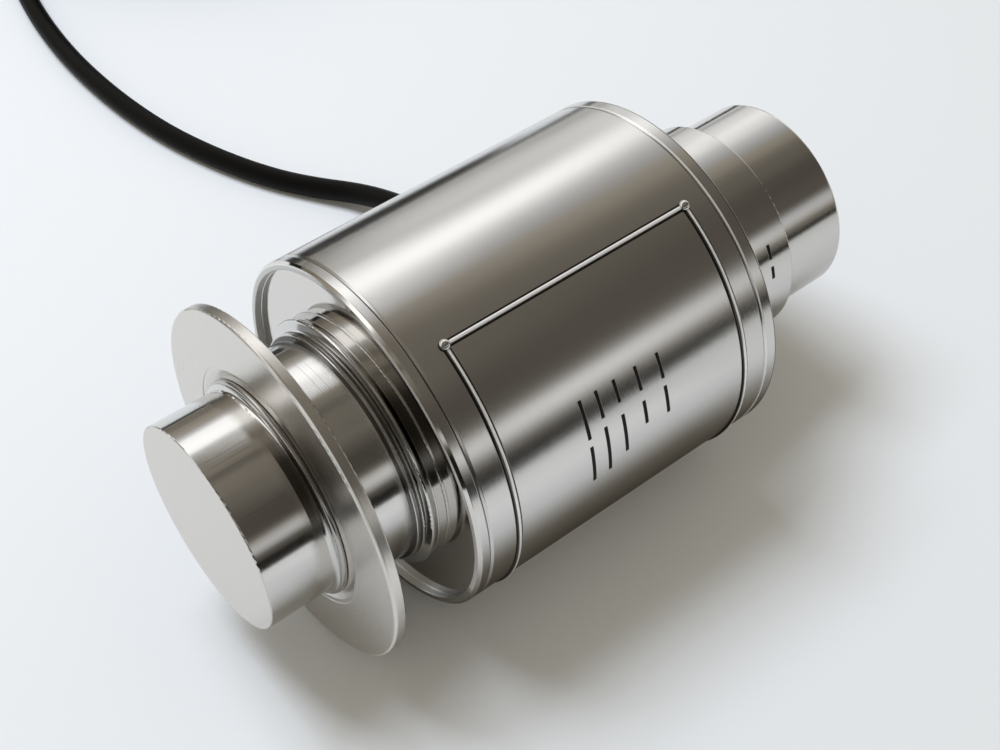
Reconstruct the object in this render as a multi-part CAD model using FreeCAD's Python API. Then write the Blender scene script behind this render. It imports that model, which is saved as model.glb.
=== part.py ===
import FreeCAD, Part
import math
import os

# Column load cell for weighing, lying on its side as it comes to rest.
# A one-piece steel column carries the load from its base stub to its top stub. A sealed
# tubular housing with two end plates surrounds the column's thin, gauged waist. At the base
# end a corrugated bellows closes the gap between column and housing, and a thin round disc
# sits on the column in front of it. The cable leaves through a gland low on the back.
#
# Frame: X runs along the load axis from the base end to the top end, Z is up, and the origin
# is on the floor under mid length. A station is a distance along the axis from the base face,
# and an angle round the housing counts from its top towards the front, which is -Y.

V = FreeCAD.Vector

# Column
overall_length = 150.0
base_stub_radius = 22.25
base_stub_length = 12.0
base_stub_round = 0.3
relief_step = 0.12          # the stub's ground face stops here, a hair below its radius
disc_land_radius = 23.2
disc_land_start = 14.85     # where the concave flare behind the stub reaches the land
flare_rest = 0.05            # the land's small upright edge above the flare
neck_radius = 24.4
waist_radius = 17.0
waist_start = 52.0
waist_length = 46.0
waist_fillet = 3.0
waist_edge_round = 1.0
top_neck_end = 132.8
top_neck_round = 0.4
top_stub_radius = 22.2
top_stub_round = 0.8
top_step_fillet = 0.5

# Disc on the column and the ring that keeps it there
disc_front = 16.3
disc_thickness = 2.5
disc_radius = 38.5
disc_front_round = 0.7
disc_back_round = 0.3
disc_lip_radius = 23.8       # narrow lip round the bore, against the ring
disc_groove_taper = 0.1      # how far the groove's inner wall leans out
disc_groove_radius = 25.5
disc_groove_depth = 0.9
disc_dressing_radius = 26.4  # outer edge of the shallow dressed band round the groove
disc_dressing_depth = 0.12
disc_fit = 0.03
ring_wire = 1.2
ring_standing = 0.55         # how much of the wire stands out of its groove
ring_gap = 1.8               # between the wire's ends
ring_gap_angle = 135.0       # where the gap is, from the top towards the front

# Housing
barrel_radius = 38.75
barrel_wall = 3.0
lower_plate_front = 35.7
lower_plate_rim = 2.9
lower_rim_chamfer = 0.65
lower_rim_lip = 1.1
lower_lip_round = 0.15
lower_plate_recess = 1.6
upper_plate_rim = 3.2
upper_rim_chamfer = 0.35
upper_plate_end = 113.1
lower_spigot_length = 3.4
upper_spigot_length = 2.6
spigot_chamfer_round = 0.5
spigot_fit = 0.05
joint_groove_depth = 0.35    # the dressed V where a plate meets the tube
joint_groove_half = 0.45     # its width on either side of the joint
joint_groove_round = 0.2
upper_neck_gap = 0.6
upper_bore_round = 0.3

# Bellows between column and lower end plate
bellows_wall = 0.4
bellows_fold = 0.55          # how much further the fold reaches inside, at its sharp root
bellows_start = 31.0
bellows_cuff_wall = 0.8
bellows_cuff_radius = neck_radius + bellows_cuff_wall
bellows_cuff_length = 1.75
bellows_cuff_lead = 0.5      # tapered start of the cuff
bellows_cuff_taper = 0.2
bellows_crest_station = 33.65
bellows_crest_half = 0.35    # half the width of the crest's top
bellows_crest_rise = 2.2      # crest, root and sleeve over the cuff
bellows_crest_radius = bellows_cuff_radius + bellows_crest_rise
bellows_root_station = 34.5
bellows_root_rise = 0.55
bellows_root_radius = bellows_cuff_radius + bellows_root_rise
bellows_sleeve_station = 35.05
bellows_sleeve_rise = 1.75
bellows_sleeve_radius = bellows_cuff_radius + bellows_sleeve_rise
bellows_bend = 0.3           # radius in which the wall turns at crest, root and sleeve
bellows_crest_bend = 0.55    # where the flare runs into the crest
bellows_flare_bend = 0.6     # the wide bend from the cuff up to the crest
bellows_depth_in_plate = 2.6
weld_ring_half = 0.4          # half the ring's width
weld_ring_height = 0.25
weld_ring_shoulder = 0.1      # drop from the ring's top to its sides
weld_ring_break = 0.15        # width of each slope beside the ring's top
weld_ring_sunk = 0.15         # how far the ring's section reaches under the cuff's surface
weld_ring_station = 31.6
outer_ring_width = 0.35
outer_ring_height = 0.4
outer_ring_round = 0.2

# Diaphragm that seals the housing against the column at the top end
diaphragm_wall = 0.4
diaphragm_rim_radius = 31.5
diaphragm_wave = 1.0
diaphragm_wave_half = 1.6    # half the width of the wave
diaphragm_bend = 0.5
diaphragm_cuff_length = 2.0

# Raised frame round the marking field
bead_radius = 0.55
bead_sunk = 0.05
bead_low_station = 45.25
bead_high_station = 104.0
bead_top_angle = 25.7
bead_bottom_angle = 155.0
stud_radius = 1.15
stud_lift = 0.15

# Cable gland
gland_station = 102.0
gland_slope = 22.0           # degrees below the horizontal, on the back
boss_radius = 7.0
boss_proud = 0.75
gland_thread_radius = 5.0
gland_thread_length = 6.5
gland_thread_fit = 0.05
gland_flats = 14.0
gland_corner_break = 0.4     # the turned chamfer on the hexagons' corners
gland_shank_round = 0.4
gland_hex_height = 4.5
gland_neck_radius = 5.4
gland_neck_length = 6.0
nut_height = 5.0
nut_dome_length = 4.5
nut_dome_shoulder = 1.0
nut_dome_step = 0.3          # how far the dome starts inside the flats
nut_dome_round = 1.0
nut_overlap = 0.1            # the dome's root inside the hexagon
nut_mouth_radius = 3.9
nut_wall = 1.2
seal_length = 4.0
relief_sleeve_tip = 3.5
relief_sleeve_length = 10.5
relief_sleeve_shoulder = 0.6
relief_sleeve_round = 0.3
gland_fit = 0.05             # running gap between the gland's sliding faces

# Cable. The route gives the points of its middle line after its first straight run, which
# leaves the sleeve along the gland's axis.
cable_diameter = 5.5
cable_first_run = 15.0
cable_route = [
    (24.3, 89.5, 4.3),
    (15.5, 102.3, 2.75),
    (8.6, 113.0, 2.75),
    (2.0, 128.0, 2.75),
    (-3.2, 145.0, 2.75),
    (-6.3, 164.0, 2.75),
    (-7.4, 184.0, 2.75),
    (-6.6, 202.0, 2.75),
    (-4.1, 220.0, 2.75),
    (0.0, 237.5, 3.1),
    (5.0, 253.5, 3.75),
]
arc_share = 0.45

# Coil of the rest of the cable, tied, lying flat
coil_mid_radius = 49.5
coil_pitch = 5.6
coil_turns_across = 6
coil_layers = 5
coil_lead_in = 29.0
coil_top_slack = 0.25
coil_corner = 2.7
tail_turn = 1                # which turn, counted from the inside, the tail lies on
tail_start = 280.0           # degrees round the coil from +X, where the tail lies on top
tail_sweep = 92.0
tie_angles = (25.0, 130.0, 216.0)
tie_width = 8.0
tie_thickness = 1.0
tie_core_sector = 60.0       # the part of the coil that one tie is cut to fit

# Stripped cable end
end_sleeve_length = 14.0
end_sleeve_body = 8.4        # the part shrunk on the jacket, before the taper
end_sleeve_radius = 2.6
end_sleeve_tip = 1.9
end_sleeve_round = 0.4
end_sleeve_taper_round = 1.5
core_radius = 0.6
core_count = 5
core_pitch = 0.72            # side by side where they leave the sleeve
core_first_run = 8.4
core_second_run = 8.4
core_last_run = 7.2
core_first_fan = 0.72        # how far each core strays from its neighbour in each run
core_second_fan = 1.92
core_last_fan = 0.6
core_fall_share = 2 / 3      # how much of the way down to the coil the first run comes
ferrule_radius = 0.8
ferrule_length = 6.0

# Inside the housing
gauge_count = 4
gauge_length = 9.0
gauge_thickness = 0.25
gauge_span = 26.0            # degrees round the waist
gauge_station = 70.0
gauge_lead_radius = 0.25
gauge_lead_spread = 7.0      # degrees from the gauge's middle to either lead
gauge_lead_overlap = 1.0
board_station = 92.0
board_thickness = 1.6
board_outer_radius = 29.0
board_fit = 0.3
standoff_count = 3
standoff_first_angle = 30.0  # the standoffs keep clear of the gauge leads
standoff_circle = 22.2
standoff_radius = 2.0
standoff_bore = 1.05
screw_radius = 1.0
screw_hole_radius = 1.25
screw_head_radius = 2.0
screw_head_height = 1.5
screw_depth = 3.5
resistor_radius = 0.9
resistor_length = 5.0
resistor_circle = 26.0
lead_neck_gap = 2.5          # from the neck to the middle lines of the cores
lead_core_drop = 3.2         # how far the cores stand out of the cable's jacket
lead_core_count = 4
lead_core_radius = 0.45
lead_core_pitch = 1.25

# Worked out from the values above
disc_back = disc_front + disc_thickness
waist_end = waist_start + waist_length
joint_low = lower_plate_front + lower_plate_rim
joint_bottom = barrel_radius - joint_groove_depth
joint_high = upper_plate_end - upper_plate_rim
tube_bore = barrel_radius - barrel_wall
recess_station = lower_plate_front + lower_plate_recess
cable_radius = cable_diameter / 2
boss_top = barrel_radius + boss_proud
ring_centre_radius = disc_land_radius + ring_standing - ring_wire / 2
coil_inner_turn = coil_mid_radius - (coil_turns_across - 1) * coil_pitch / 2
coil_outer_turn = coil_mid_radius + (coil_turns_across - 1) * coil_pitch / 2
coil_bottom = tie_thickness
coil_top_turn = coil_bottom + cable_radius + (coil_layers - 1) * coil_pitch
coil_top = coil_top_turn + cable_radius + coil_top_slack
tail_height = coil_top_turn + coil_pitch
tail_radius = coil_inner_turn + tail_turn * coil_pitch

nodes = {}


def rounded_edges(corners, closed=True):
    """Lines and tangent arcs through corners, each a point and its rounding radius."""
    count = len(corners)
    legs = []
    for index, (point, radius) in enumerate(corners):
        inner = closed or 0 < index < count - 1
        if radius and inner:
            to_before = (corners[index - 1][0] - point).normalize()
            to_after = (corners[(index + 1) % count][0] - point).normalize()
            half = to_before.getAngle(to_after) / 2
            reach = radius / math.tan(half)
            middle = (to_before + to_after).normalize() * (radius / math.sin(half) - radius)
            legs.append((point + to_before * reach, point + middle, point + to_after * reach))
        else:
            legs.append((point, None, point))
    edges = []
    for index, (start, middle, end) in enumerate(legs):
        if middle is not None:
            edges.append(Part.Arc(start, middle, end).toShape())
        if closed or index < count - 1:
            following = legs[(index + 1) % count][0]
            if end.distanceToPoint(following) > 1e-6:
                edges.append(Part.LineSegment(end, following).toShape())
    return edges


def flat_face(corners):
    """A face in the XZ plane from corners of (along, out) or (along, out, rounding radius)."""
    points = [(V(c[0], 0, c[1]), c[2] if len(c) > 2 else 0) for c in corners]
    return Part.Face(Part.Wire(rounded_edges(points)))


def to_row(shape):
    """Moves a shape from stations along X at height zero to the row's frame."""
    placed = shape.copy()
    placed.translate(V(-overall_length / 2, 0, barrel_radius))
    return placed


def turned(corners, sweep=360.0):
    """A turned solid about the load axis from corners of (station, radius, rounding radius)."""
    return flat_face(corners).revolve(V(0, 0, 0), V(1, 0, 0), sweep)


def turned_in_row(corners):
    """A full turned solid, placed in the row's frame."""
    return to_row(turned(corners))


def straight(start, direction, length, radius):
    """A cylinder from a point along a direction."""
    return Part.makeCylinder(radius, length, start, direction)


def hexagon(start, direction, height, flats, side):
    """A hexagonal bar from a point along a direction, with a corner towards side."""
    corner = flats / math.sqrt(3)
    across = direction.cross(side).normalize()
    points = []
    for index in range(7):
        angle = math.radians(60 * index)
        points.append(start + side * (corner * math.cos(angle)) + across * (corner * math.sin(angle)))
    return Part.Face(Part.makePolygon(points)).extrude(direction * height)


def round_the_axis(solid, angle):
    """A copy of a solid turned round the load axis, before it is placed in the row."""
    copy = solid.copy()
    copy.rotate(V(0, 0, 0), V(1, 0, 0), angle)
    return copy


def at_angle(angle, radius, station):
    """The point at an angle from the top towards the front, before it is placed in the row."""
    turn = math.radians(angle)
    return V(station, -radius * math.sin(turn), radius * math.cos(turn))


def soft_path(points):
    """Straight runs joined by tangent arcs as large as the runs allow, and their radii."""
    vectors = [V(*p) for p in points]
    corners = [(vectors[0], 0)]
    radii = []
    for before, here, after in zip(vectors, vectors[1:], vectors[2:]):
        turn = (here - before).getAngle(after - here)
        shorter = min(here.distanceToPoint(before), after.distanceToPoint(here))
        radius = arc_share * shorter / math.tan(turn / 2)
        corners.append((here, radius))
        radii.append(radius)
    corners.append((vectors[-1], 0))
    return Part.Wire(rounded_edges(corners, closed=False)), radii


def tube_along(points, radius):
    """A solid tube along a soft path, with the path's length and radii."""
    path, radii = soft_path(points)
    start = V(*points[0])
    section = Part.Wire(Part.Circle(start, V(*points[1]) - start, radius).toShape())
    solid = path.makePipeShell([section], True, True)
    return solid, path.Length, radii


def load_column():
    """The one-piece column: base stub, disc land, neck, gauged waist, neck and top stub."""
    relief_radius = base_stub_radius - relief_step
    groove = ring_wire
    groove_floor = ring_centre_radius - ring_wire / 2
    corners = [
        (0, 0),
        (0, base_stub_radius, base_stub_round),
        (base_stub_length, base_stub_radius),
        (base_stub_length, relief_radius),
        (disc_land_start, relief_radius, disc_land_radius - relief_radius - flare_rest),
        (disc_land_start, disc_land_radius),
        (disc_front - groove, disc_land_radius),
        (disc_front - groove, groove_floor),
        (disc_front, groove_floor),
        (disc_front, disc_land_radius),
        (disc_back, disc_land_radius),
        (disc_back, neck_radius),
        (waist_start, neck_radius, waist_edge_round),
        (waist_start, waist_radius, waist_fillet),
        (waist_end, waist_radius, waist_fillet),
        (waist_end, neck_radius, waist_edge_round),
        (top_neck_end, neck_radius, top_neck_round),
        (top_neck_end, top_stub_radius, top_step_fillet),
        (overall_length, top_stub_radius, top_stub_round),
        (overall_length, 0),
    ]
    nodes["load_column"] = turned_in_row(corners)


def base_disc():
    """The thin disc against the neck's shoulder, with a lip and a groove round its bore."""
    bore = disc_land_radius + disc_fit
    dressed = disc_front + disc_dressing_depth
    corners = [
        (disc_front, bore),
        (disc_front, disc_lip_radius),
        (disc_front + disc_groove_depth, disc_lip_radius + disc_groove_taper),
        (dressed, disc_groove_radius),
        (dressed, disc_dressing_radius),
        (disc_front, disc_dressing_radius),
        (disc_front, disc_radius, disc_front_round),
        (disc_back, disc_radius, disc_back_round),
        (disc_back, bore),
    ]
    nodes["base_disc"] = turned_in_row(corners)


def disc_retaining_ring():
    """A round-wire snap ring in the column's groove, against the disc."""
    middle = disc_front - ring_wire / 2
    ring = Part.makeTorus(ring_centre_radius, ring_wire / 2, V(middle, 0, 0), V(1, 0, 0))
    gap = Part.makeBox(ring_wire * 2, ring_gap, ring_wire * 2)
    gap.translate(V(middle - ring_wire, -ring_gap / 2, ring_centre_radius - ring_wire))
    nodes["disc_retaining_ring"] = to_row(round_the_axis(ring.cut(gap), ring_gap_angle))


def bellows():
    """The thin formed bellows, with cuff, flared crest, root and sleeve, and its weld ring."""
    cuff_end = bellows_start + bellows_cuff_length
    sleeve_end = recess_station + bellows_depth_in_plate
    crest_start = bellows_crest_station - bellows_crest_half
    crest_end = bellows_crest_station + bellows_crest_half
    inner_crest = bellows_crest_radius - bellows_wall
    inner_root = bellows_root_radius - bellows_wall - bellows_fold
    inner_bend = bellows_bend / 2
    outer = [
        (bellows_start, bellows_cuff_radius - bellows_cuff_taper),
        (bellows_start + bellows_cuff_lead, bellows_cuff_radius, bellows_cuff_lead / 2),
        (cuff_end, bellows_cuff_radius, bellows_flare_bend),
        (crest_start, bellows_crest_radius, bellows_crest_bend),
        (crest_end, bellows_crest_radius, bellows_bend),
        (bellows_root_station, bellows_root_radius, inner_bend),
        (bellows_sleeve_station, bellows_sleeve_radius, bellows_bend),
        (sleeve_end, bellows_sleeve_radius),
    ]
    inner = [
        (sleeve_end, bellows_sleeve_radius - bellows_wall),
        (bellows_sleeve_station + bellows_wall / 2, bellows_sleeve_radius - bellows_wall, inner_bend),
        (bellows_root_station, inner_root, bellows_bend),
        (crest_end - bellows_wall / 2, inner_crest, inner_bend),
        (crest_start + bellows_wall / 2, inner_crest, inner_bend),
        (cuff_end + bellows_wall / 2, bellows_cuff_radius - bellows_wall, bellows_flare_bend),
        (cuff_end - bellows_wall, neck_radius),
        (bellows_start, neck_radius),
    ]
    shell = turned(outer + inner)
    nodes["bellows"] = to_row(shell)
    ring_start = weld_ring_station - weld_ring_half
    ring_end = weld_ring_station + weld_ring_half
    ring_foot = bellows_cuff_radius - weld_ring_sunk
    ring_top = bellows_cuff_radius + weld_ring_height
    bead = turned([
        (ring_start, ring_foot),
        (ring_start, ring_top - weld_ring_shoulder),
        (ring_start + weld_ring_break, ring_top),
        (ring_end - weld_ring_break, ring_top),
        (ring_end, ring_top - weld_ring_shoulder),
        (ring_end, ring_foot),
    ])
    nodes["bellows_weld_ring"] = to_row(bead.cut(shell))


def bellows_outer_ring():
    """The thin ring where the bellows' sleeve enters the plate."""
    inner = bellows_sleeve_radius
    corners = [
        (recess_station - outer_ring_height, inner),
        (recess_station, inner),
        (recess_station, inner + outer_ring_width),
        (recess_station - outer_ring_height, inner + outer_ring_width, outer_ring_round),
    ]
    nodes["bellows_outer_ring"] = turned_in_row(corners)


def lower_end_plate():
    """The plate at the base end: chamfered rim, shallow recess, spigot and bellows bore."""
    lip_radius = barrel_radius - lower_rim_chamfer - lower_rim_lip
    spigot_radius = tube_bore - spigot_fit
    plate_end = joint_low + lower_spigot_length
    corners = [
        (recess_station, bellows_sleeve_radius),
        (recess_station, lip_radius, lower_lip_round),
        (lower_plate_front, lip_radius, lower_lip_round),
        (lower_plate_front, barrel_radius - lower_rim_chamfer, lower_lip_round),
        (lower_plate_front + lower_rim_chamfer, barrel_radius, lower_lip_round),
        (joint_low - joint_groove_half, barrel_radius, joint_groove_round),
        (joint_low, joint_bottom),
        (joint_low, spigot_radius),
        (plate_end, spigot_radius, spigot_chamfer_round),
        (plate_end, bellows_sleeve_radius),
    ]
    nodes["lower_end_plate"] = turned_in_row(corners)


def housing_tube():
    """The outer tube, with fine chamfers at both joints and a hole for the gland's boss."""
    corners = [
        (joint_low, tube_bore),
        (joint_low, joint_bottom),
        (joint_low + joint_groove_half, barrel_radius, joint_groove_round),
        (joint_high - joint_groove_half, barrel_radius, joint_groove_round),
        (joint_high, joint_bottom),
        (joint_high, tube_bore),
    ]
    hole = straight(gland_point(0), gland_direction(), boss_top, boss_radius)
    nodes["housing_tube"] = turned_in_row(corners).cut(hole)


def upper_end_plate():
    """The plate at the top end: chamfered rim, spigot and a clear bore round the neck."""
    spigot_radius = tube_bore - spigot_fit
    bore = neck_radius + upper_neck_gap
    corners = [
        (joint_high - upper_spigot_length, bore),
        (joint_high - upper_spigot_length, spigot_radius, spigot_chamfer_round),
        (joint_high, spigot_radius),
        (joint_high, joint_bottom),
        (joint_high + joint_groove_half, barrel_radius, joint_groove_round),
        (upper_plate_end - upper_rim_chamfer, barrel_radius),
        (upper_plate_end, barrel_radius - upper_rim_chamfer),
        (upper_plate_end, bore, upper_bore_round),
    ]
    nodes["upper_end_plate"] = turned_in_row(corners)


def upper_diaphragm():
    """A thin waved diaphragm from the neck to the upper plate's inner face."""
    face = joint_high - upper_spigot_length
    cuff_radius = neck_radius + diaphragm_wall
    crest = (cuff_radius + diaphragm_rim_radius) / 2
    low = face - diaphragm_wall
    start = crest - diaphragm_wave_half
    end = crest + diaphragm_wave_half
    corners = [
        (face - diaphragm_cuff_length, neck_radius),
        (face - diaphragm_cuff_length, cuff_radius),
        (low, cuff_radius, diaphragm_bend),
        (low, start, diaphragm_bend),
        (low - diaphragm_wave, crest, diaphragm_bend),
        (low, end, diaphragm_bend),
        (low, diaphragm_rim_radius),
        (face, diaphragm_rim_radius),
        (face, end, diaphragm_bend),
        (face - diaphragm_wave, crest, diaphragm_bend),
        (face, start, diaphragm_bend),
        (face, neck_radius),
    ]
    nodes["upper_diaphragm"] = turned_in_row(corners)


def bead_arc(station):
    """One of the frame's two arcs, as a part of a torus round the housing."""
    centre = at_angle(bead_top_angle, barrel_radius - bead_sunk, station)
    circle = Part.Circle(centre, at_angle(bead_top_angle + 90, 1, 0), bead_radius)
    face = Part.Face(Part.Wire(circle.toShape()))
    return face.revolve(V(station, 0, 0), V(1, 0, 0), bead_bottom_angle - bead_top_angle)


def panel_frame():
    """The raised half-round frame round the marking field, and the studs at its corners."""
    run = bead_high_station - bead_low_station
    centre_radius = barrel_radius - bead_sunk
    inside = straight(V(0, 0, 0), V(1, 0, 0), overall_length, barrel_radius)
    arcs = [bead_arc(bead_low_station), bead_arc(bead_high_station)]
    lines = []
    studs = []
    for angle in (bead_top_angle, bead_bottom_angle):
        start = at_angle(angle, centre_radius, bead_low_station)
        lines.append(straight(start, V(1, 0, 0), run, bead_radius))
        for station in (bead_low_station, bead_high_station):
            studs.append(Part.makeSphere(stud_radius, at_angle(angle, barrel_radius + stud_lift, station)))
    all_studs = studs[0].multiFuse(studs[1:])
    frame = arcs[0].multiFuse(arcs[1:] + lines)
    nodes["panel_corner_studs"] = to_row(all_studs.cut(inside))
    nodes["panel_frame_bead"] = to_row(frame.cut(inside).cut(all_studs))


def gland_direction():
    """The gland's axis, out of the housing towards the back and down."""
    slope = math.radians(gland_slope)
    return V(0, math.cos(slope), -math.sin(slope))


def gland_point(distance):
    """The point on the gland's axis at a distance from the load axis, in the row's frame."""
    centre = V(gland_station - overall_length / 2, 0, barrel_radius)
    return centre + gland_direction() * distance


def along_gland(corners):
    """A turned solid about the gland's axis from corners of (distance, radius, rounding)."""
    solid = flat_face(corners).revolve(V(0, 0, 0), V(1, 0, 0), 360)
    solid.rotate(V(0, 0, 0), V(0, 0, 1), 90)
    solid.rotate(V(0, 0, 0), V(1, 0, 0), -gland_slope)
    solid.translate(gland_point(0))
    return solid


def cable_boss():
    """The boss welded into the housing's wall, with the gland's threaded hole."""
    body = straight(gland_point(tube_bore), gland_direction(), boss_top - tube_bore, boss_radius)
    thread = gland_thread_radius + gland_thread_fit
    hole = straight(gland_point(0), gland_direction(), boss_top + boss_proud, thread)
    nodes["cable_boss"] = body.cut(hole)


def gland_set():
    """The gland's body, clamped seal, domed nut and rubber sleeve."""
    direction = gland_direction()
    side = V(1, 0, 0)
    bore = cable_radius + gland_fit
    hex_end = boss_top + gland_hex_height
    neck_end = hex_end + gland_neck_length
    seal_start = neck_end - seal_length

    shank = along_gland([
        (boss_top - gland_thread_length, bore),
        (boss_top - gland_thread_length, gland_thread_radius, gland_shank_round),
        (hex_end, gland_thread_radius),
        (hex_end, gland_neck_radius),
        (neck_end, gland_neck_radius, gland_shank_round),
        (neck_end, nut_mouth_radius),
        (seal_start, nut_mouth_radius),
        (seal_start, bore),
    ])
    flats = hexagon(gland_point(boss_top), direction, gland_hex_height, gland_flats, side)
    through = straight(gland_point(boss_top), direction, gland_hex_height, bore)
    corner = gland_flats / math.sqrt(3)
    crown = corner - gland_corner_break
    trim = along_gland([
        (boss_top, 0),
        (boss_top, corner),
        (hex_end - gland_corner_break, corner),
        (hex_end, crown),
        (hex_end, 0),
    ])
    nodes["gland_body"] = shank.fuse(flats.common(trim).cut(through)).removeSplitter()

    nodes["gland_seal"] = along_gland([
        (seal_start, cable_radius),
        (seal_start, nut_mouth_radius),
        (neck_end, nut_mouth_radius),
        (neck_end, cable_radius),
    ])

    nut_start = hex_end
    nut_flats_end = nut_start + nut_height
    nut_end = nut_flats_end + nut_dome_length
    inner = gland_neck_radius + gland_fit
    hex_part = hexagon(gland_point(nut_start), direction, nut_height, gland_flats, side)
    dome = along_gland([
        (nut_start, 0),
        (nut_start, crown),
        (nut_start + gland_corner_break, corner),
        (nut_flats_end - gland_corner_break, corner),
        (nut_flats_end, crown),
        (nut_flats_end, 0),
    ])
    head_radius = gland_flats / 2 - nut_dome_step
    head = along_gland([
        (nut_flats_end - nut_overlap, 0),
        (nut_flats_end - nut_overlap, head_radius),
        (nut_flats_end + nut_dome_shoulder, head_radius, nut_dome_round),
        (nut_end, nut_mouth_radius + nut_wall, nut_dome_round),
        (nut_end, 0),
    ])
    hollow = along_gland([
        (nut_start, 0),
        (nut_start, inner),
        (neck_end, inner),
        (nut_end, nut_mouth_radius + gland_fit),
        (nut_end, 0),
    ])
    nodes["gland_nut"] = hex_part.common(dome).fuse(head).cut(hollow)

    sleeve_start = neck_end
    sleeve_end = nut_end + relief_sleeve_length
    nodes["strain_relief"] = along_gland([
        (sleeve_start, cable_radius),
        (sleeve_start, nut_mouth_radius),
        (nut_end + relief_sleeve_shoulder, nut_mouth_radius, relief_sleeve_round),
        (sleeve_end, relief_sleeve_tip, relief_sleeve_round),
        (sleeve_end, cable_radius),
    ])
    return sleeve_end


def inner_lead(sleeve_end):
    """The cable's jacket through the gland, and its four cores to the terminal board."""
    turn_in = neck_radius + lead_neck_gap
    start = turn_in + lead_core_drop
    nodes["inner_lead"] = straight(gland_point(start), gland_direction(), sleeve_end - start, cable_radius)
    board_face = board_station + board_thickness - overall_length / 2
    cores = []
    for index in range(lead_core_count):
        across = (index - (lead_core_count - 1) / 2) * lead_core_pitch
        lift = gland_direction().cross(V(1, 0, 0)) * across
        corner = gland_point(turn_in) + lift
        points = [tuple(gland_point(start) + lift), tuple(corner), (board_face, corner.y, corner.z)]
        cores.append(tube_along(points, lead_core_radius)[0])
    nodes["lead_cores"] = Part.makeCompound(cores)


def strain_gauges():
    """Foil gauges on the waist with their two leads each, running to the board."""
    gauges = []
    leads = []
    outer = waist_radius + gauge_thickness
    patch = turned([
        (gauge_station, waist_radius),
        (gauge_station + gauge_length, waist_radius),
        (gauge_station + gauge_length, outer),
        (gauge_station, outer),
    ], gauge_span)
    lead_start = gauge_station + gauge_length - gauge_lead_overlap
    lead_circle = outer + gauge_lead_radius
    for index in range(gauge_count):
        turn = 360 / gauge_count * index
        gauges.append(round_the_axis(patch, turn - gauge_span / 2))
        for side in (-1, 1):
            place = at_angle(-turn + side * gauge_lead_spread, lead_circle, lead_start)
            leads.append(straight(place, V(1, 0, 0), board_station - lead_start, gauge_lead_radius))
    nodes["strain_gauges"] = to_row(Part.makeCompound(gauges))
    nodes["gauge_leads"] = to_row(Part.makeCompound(leads))


def terminal_board():
    """The ring-shaped board, its standoffs on the column's shoulder, screws and resistors."""
    inner = waist_radius + board_fit
    board = turned([
        (board_station, inner),
        (board_station, board_outer_radius),
        (board_station + board_thickness, board_outer_radius),
        (board_station + board_thickness, inner),
    ])
    standoffs = []
    screws = []
    resistors = []
    along = V(1, 0, 0)
    back = board_station + board_thickness
    for index in range(standoff_count):
        angle = standoff_first_angle + 360 / standoff_count * index
        between = angle + 180 / standoff_count
        place = at_angle(angle, standoff_circle, back)
        post = straight(place, along, waist_end - back, standoff_radius)
        standoffs.append(post.cut(straight(place, along, waist_end - back, standoff_bore)))
        front = at_angle(angle, standoff_circle, board_station)
        board = board.cut(straight(front, along, board_thickness, screw_hole_radius))
        head = straight(front, V(-1, 0, 0), screw_head_height, screw_head_radius)
        shank = straight(front, along, board_thickness + screw_depth, screw_radius)
        screws.append(head.fuse(shank))
        middle = at_angle(between, resistor_circle, board_station - resistor_radius)
        tangent = at_angle(between + 90, 1, 0)
        first_end = middle - tangent * (resistor_length / 2)
        resistors.append(straight(first_end, tangent, resistor_length, resistor_radius))
    nodes["terminal_board"] = to_row(board)
    nodes["board_standoffs"] = to_row(Part.makeCompound(standoffs))
    nodes["board_screws"] = to_row(Part.makeCompound(screws))
    nodes["trim_resistors"] = to_row(Part.makeCompound(resistors))


def cable(sleeve_end):
    """The cable from the sleeve to the coil, on the floor for most of its way."""
    start = gland_point(sleeve_end)
    points = [tuple(start), tuple(start + gland_direction() * cable_first_run)] + cable_route
    solid, length, radii = tube_along(points, cable_radius)
    expected = math.pi * cable_radius ** 2 * length
    print("cable route length", round(length, 1), "volume share", round(solid.Volume / expected, 4))
    print("cable bend radii", [round(r, 1) for r in radii])
    nodes["cable"] = solid


def coil_centre():
    """The coil's middle on the floor, and the direction in which the cable enters it."""
    before, last = V(*cable_route[-2]), V(*cable_route[-1])
    heading = (last - before).normalize()
    right = V(heading.y, -heading.x, 0)
    tangent_point = last + heading * coil_lead_in
    centre = tangent_point + right * coil_outer_turn
    return V(centre.x, centre.y, 0), heading


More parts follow.
